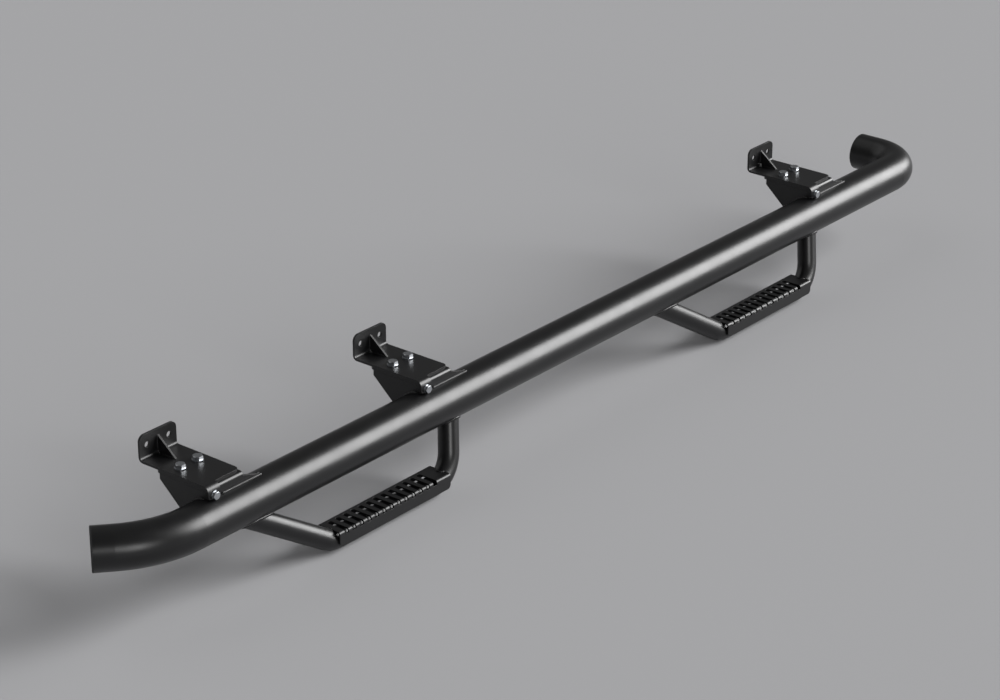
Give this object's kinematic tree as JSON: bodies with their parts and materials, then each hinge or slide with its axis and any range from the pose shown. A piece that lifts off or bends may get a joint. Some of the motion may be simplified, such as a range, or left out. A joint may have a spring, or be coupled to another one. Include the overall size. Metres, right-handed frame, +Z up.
{
  "type": "side step bar",
  "caption": "Side step bar: bent round main tube with drop hoops carrying folded slotted treads, held by welded arms and bolt-on body brackets.",
  "frame": {"origin": "centre of the two body bolt holes of the middle bracket, on the bracket's bolting face", "axes": "+X rearward along the main tube, +Y inboard toward the vehicle, +Z up; left-hand side"},
  "size_m": [2.3571, 0.2071, 0.2535],
  "materials": {
    "tube_powder_coat": "gloss",
    "tread_powder_coat": "satin",
    "bracket_powder_coat": "satin",
    "cap_plastic": "matt",
    "zinc_fasteners": "bright zinc"
  },
  "bodies": {
    "root": {"main_tube": "tube_powder_coat", "front_end_cap": "cap_plastic", "rear_end_cap": "cap_plastic", "front_hoop": "tube_powder_coat", "rear_hoop": "tube_powder_coat", "front_tread": "tread_powder_coat", "rear_tread": "tread_powder_coat", "front_arm": "tube_powder_coat", "middle_arm": "tube_powder_coat", "rear_arm": "tube_powder_coat", "front_arm_front_rib": "tube_powder_coat", "front_arm_rear_rib": "tube_powder_coat", "middle_arm_front_rib": "tube_powder_coat", "middle_arm_rear_rib": "tube_powder_coat", "rear_arm_front_rib": "tube_powder_coat", "rear_arm_rear_rib": "tube_powder_coat", "front_body_bracket": "bracket_powder_coat", "middle_body_bracket": "bracket_powder_coat", "rear_body_bracket": "bracket_powder_coat", "front_bracket_gusset": "bracket_powder_coat", "middle_bracket_gusset": "bracket_powder_coat", "rear_bracket_gusset": "bracket_powder_coat", "front_arm_bolts": "zinc_fasteners", "middle_arm_bolts": "zinc_fasteners", "rear_arm_bolts": "zinc_fasteners", "front_top_washers": "zinc_fasteners", "middle_top_washers": "zinc_fasteners", "rear_top_washers": "zinc_fasteners", "front_low_washers": "zinc_fasteners", "middle_low_washers": "zinc_fasteners", "rear_low_washers": "zinc_fasteners", "front_spring_washers": "zinc_fasteners", "middle_spring_washers": "zinc_fasteners", "rear_spring_washers": "zinc_fasteners", "front_nuts": "zinc_fasteners", "middle_nuts": "zinc_fasteners", "rear_nuts": "zinc_fasteners", "front_lock_bolt": "zinc_fasteners", "middle_lock_bolt": "zinc_fasteners", "rear_lock_bolt": "zinc_fasteners", "front_lock_washer": "zinc_fasteners", "middle_lock_washer": "zinc_fasteners", "rear_lock_washer": "zinc_fasteners", "front_lock_nut": "zinc_fasteners", "middle_lock_nut": "zinc_fasteners", "rear_lock_nut": "zinc_fasteners"}
  },
  "joints": []
}
